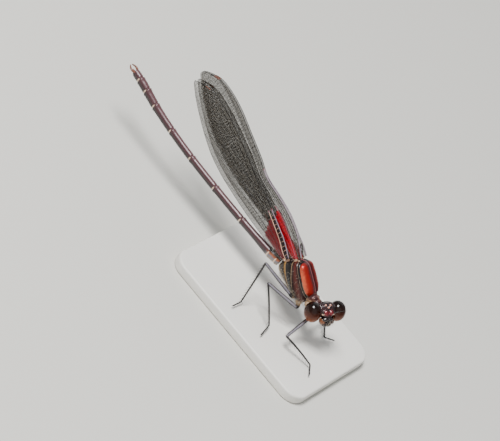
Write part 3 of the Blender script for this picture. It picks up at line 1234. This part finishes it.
for name, side in (("left", 1), ("right", -1)):
    for pair, joints in LEGS.items():
        joints = np.array(joints) * np.array([1, side, 1])
        if side > 0:
            joints[3:, :2] += np.array(LEFT_SHIFT[pair])
        hip, root, knee, ankle, toe = joints
        upper = np.linalg.norm(root - hip) / (np.linalg.norm(root - hip) + np.linalg.norm(knee - root))
        corners = np.stack([hip, root, knee], -1)
        thigh = np.stack([np.interp(share, [0, upper, 1], places) for places in corners], -1)
        for _ in range(ROUNDINGS):
            thigh[1:-1] = (thigh[:-2] + 2 * thigh[1:-1] + thigh[2:]) / 4
        bow = np.array([0.0, 0.0, 0.12]) * np.sin(np.pi * share)[:, None]
        shin = knee + (ankle - knee) * share[:, None] + bow
        foot = ankle + (toe - ankle) * share[:, None]
        foot[:, 2] = np.maximum(foot[:, 2], FLOOR_Z + FOOT_RADIUS)
        shin_radii = np.interp(share, [0, 0.04, 1], [0.17, *SHIN_RADII])
        foot_radii = FOOT_RADIUS * (0.78 + 0.3 * np.abs(np.sin(np.pi * FOOT_JOINTS * share)) ** 0.7)
        thigh_radii = np.interp(share, THIGH_ALONG, THIGH_RADII)
        shape = tubes([thigh, shin, foot], [thigh_radii, shin_radii, foot_radii], LEG_SIDES)
        ring_points = shape[0].reshape(3, -1, 3)
        middle = np.repeat(np.stack([thigh, shin, foot]), LEG_SIDES, axis=1)
        out_way = ring_points[:, :-2] - middle
        out_way /= np.linalg.norm(out_way, axis=-1, keepdims=True)
        facing = out_way @ np.array([0.25, side * 0.72, 0.65])
        bloom = np.concatenate([facing, np.zeros((3, 2))], 1)
        bloom[1:] = 0
        bloom[0, : LEG_SIDES * BLOOM_FROM_RING] = 0
        tan = on_tubes(np.stack([np.clip(1.2 - share * 9, 0, 1), share * 0, share * 0]), LEG_SIDES)
        spines = []
        # Two rows along the thigh and two along the shin, from a share of the way along.
        rows = ((thigh, thigh_radii, 0.3, 0.4), (shin, shin_radii, 0.05, 0.62))
        for line, radii, first, length in rows:
            way = np.gradient(line, axis=0)
            way /= np.linalg.norm(way, axis=-1, keepdims=True)
            out = np.cross(way, [0.0, 0.0, 1.0])
            out /= np.linalg.norm(out, axis=-1, keepdims=True)
            for turn in (-1, 1):
                at = (first + (0.97 - first) * np.linspace(0, 1, SPINES_IN_ROW)) * (len(share) - 1)
                at = at.astype(int)
                reach_way = turn * out[at] * 0.8 - np.array([0, 0, 0.35]) + SPINE_LEAN * way[at]
                reach_way /= np.linalg.norm(reach_way, axis=-1, keepdims=True)
                size = length * draw.uniform(0.8, 1.1, (len(at), 1))
                root_at = line[at] + reach_way * radii[at][:, None] * 0.7
                tip_at = root_at + reach_way * size
                tip_at[:, 2] = np.maximum(tip_at[:, 2], FLOOR_Z + 0.02)
                spines.append(np.stack([root_at, (root_at + tip_at) / 2, tip_at], 1))
        # Two claws spread from the end of the foot.
        claw_way = (toe - ankle) / np.linalg.norm(toe - ankle)
        claw_side = np.cross(claw_way, [0.0, 0.0, 1.0])
        for turn in (-1, 1):
            start = foot[-1] - 0.05 * claw_way
            tip = start + 0.22 * claw_way + turn * 0.12 * claw_side - np.array([0, 0, 0.04])
            spines.append(np.stack([start, (start + tip) / 2 + np.array([0, 0, 0.03]), tip])[None])
        spines = np.concatenate(spines)
        spine_shape = tubes(spines, np.array([1.0, 0.7, 0.2]) * SPINE_RADIUS, 4)
        zeros = np.zeros(len(spine_shape[0]))
        add_piece(
            f"leg_{pair}_{name}",
            join_parts([shape, spine_shape]),
            leg_cuticle,
            [f"{part}_{pair}_{name}" for part in ("femur", "tibia", "tarsus")],
            {"bloom": np.concatenate([bloom.ravel(), zeros]), "tan": np.concatenate([tan, zeros])},
        )

# Hips and down
# The tan hip joints under the thorax and the pale down that hides them, long soft
# hairs that lean back and outwards.
HIPS = [(3.15, 0.6, -1.15), (2.05, 0.78, -1.9), (0.95, 0.85, -1.85)]
HIP_HALF = (0.48, 0.42, 0.5)
hip_horn = stained_horn("tan_cuticle", "#5A4030", "#D2B08A", 2200.0, 4.0, roughness=0.5)
# Dull tan horn with brown stains of about 0.5 mm, seen through the down.
hips = [
    outward(*closed_skin((ball_ways(30, 40) * np.array(HIP_HALF) + place) * np.array([1, side, 1])))
    for place in HIPS
    for side in (1, -1)
]
add_piece("hip_joints", join_parts(hips), hip_horn, [])

HAIR_COUNT, HAIR_LENGTH, HAIR_RADIUS = 900, 0.45, 0.011
HAIR_TAPER = np.array([1.0, 0.7, 0.15])
hair_x = draw.uniform(-2.6, 2.5, HAIR_COUNT)
hair_angle = -np.pi / 2 + draw.normal(0, 0.85, HAIR_COUNT)
root_at = thorax_surface(hair_x, hair_angle)
ahead_of = thorax_surface(hair_x + 0.01, hair_angle) - root_at
round_of = thorax_surface(hair_x, hair_angle + 0.01) - root_at
hair_way = np.cross(ahead_of, round_of)
hair_way /= np.linalg.norm(hair_way, axis=-1, keepdims=True)
hair_way *= np.sign((hair_way * (root_at - middle_line)).sum(-1, keepdims=True))
hair_way += draw.normal(0, 0.35, hair_way.shape) + np.array([-0.2, 0, -0.1])
hair_way /= np.linalg.norm(hair_way, axis=-1, keepdims=True)
length = HAIR_LENGTH * draw.uniform(0.6, 1.2, (HAIR_COUNT, 1))
sag = np.array([0, 0, -0.12]) * length
down = np.stack(
    [root_at, root_at + hair_way * length * 0.55, root_at + hair_way * length + sag], 1
)
hair, _, _ = new_material("pale_down", base_color=linear("#B4A894"), roughness=0.6)
# Fine off-white hairs that catch the light at the edge of the body.
add_piece("thorax_down", tubes(down, HAIR_TAPER * HAIR_RADIUS, 3), hair, [])

# Bristles of the mouth
# Short straight hairs, as fine and pale as the down, that stand out all round the lips
# and jaws.
FACE_HAIRS = 90
turn, tip = draw.uniform(-1.9, 1.9, FACE_HAIRS), draw.uniform(-0.9, 0.6, FACE_HAIRS)
face_way = np.stack([np.cos(turn) * np.cos(tip), np.sin(turn) * np.cos(tip), np.sin(tip)], -1)
root_at = np.array([0.7, 0.0, -1.05]) + face_way * np.array([0.5, 0.9, 0.75])
face_way = face_way + draw.normal(0, 0.2, face_way.shape)
length = draw.uniform(0.25, 0.5, (FACE_HAIRS, 1))
face_hairs = np.stack([root_at, root_at + face_way * length * 0.5, root_at + face_way * length], 1)
add_piece(
    "face_bristles",
    tubes(in_body(face_hairs), HAIR_TAPER * HAIR_RADIUS, 3),
    hair,
    [],
)

# Stand
# A plain low plate of white cast resin with softly rounded edges, which lies on the
# floor and carries the six feet.
plate_low, plate_high = (np.array(corner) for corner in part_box("stand_base"))
plate_centre = ((plate_low + plate_high) / 2 - body_zero) / MM
plate_half = (plate_high - plate_low) / 2 / MM
CORNER, EDGE = 2.5, 0.3
turn = np.linspace(0, 2 * np.pi, 160, endpoint=False)
outline = np.stack([np.cos(turn), np.sin(turn)], -1)
corner_at = np.sign(outline) * (plate_half[:2] - CORNER)
# The rounded edge is a quarter circle in from the side and up or down from the face.
profile = np.linspace(0, np.pi / 2, 7)
sine_inset, cosine_inset = EDGE * (1 - np.sin(profile)), EDGE * (1 - np.cos(profile))
inset = np.concatenate([sine_inset, cosine_inset])
rise = np.concatenate([cosine_inset - plate_half[2], plate_half[2] - sine_inset])
plate_points = np.zeros((len(inset), len(turn), 3))
plate_points[..., :2] = corner_at + (CORNER - inset[:, None, None]) * outline
plate_points[..., 2] = rise[:, None]
resin, tree, surface = new_material("cast_resin", roughness=0.45, base_color=linear("#E4E1DA"))
# Even off-white with a soft sheen and a barely uneven cast surface, in swells of about
# 1.4 mm.
coordinates = add_node(tree, "ShaderNodeTexCoord").outputs["Object"]
cast = add_node(tree, "ShaderNodeTexNoise", {"Vector": coordinates, "Scale": 700.0, "Detail": 3.0})
uneven = add_node(
    tree, "ShaderNodeBump", {"Height": cast.outputs["Fac"], "Strength": 0.15, "Distance": 0.00005}
)
tree.links.new(uneven.outputs[0], surface.inputs["Normal"])
add_piece(
    "stand_plate", outward(*closed_skin(plate_points + plate_centre)), resin, ["stand_base"]
)
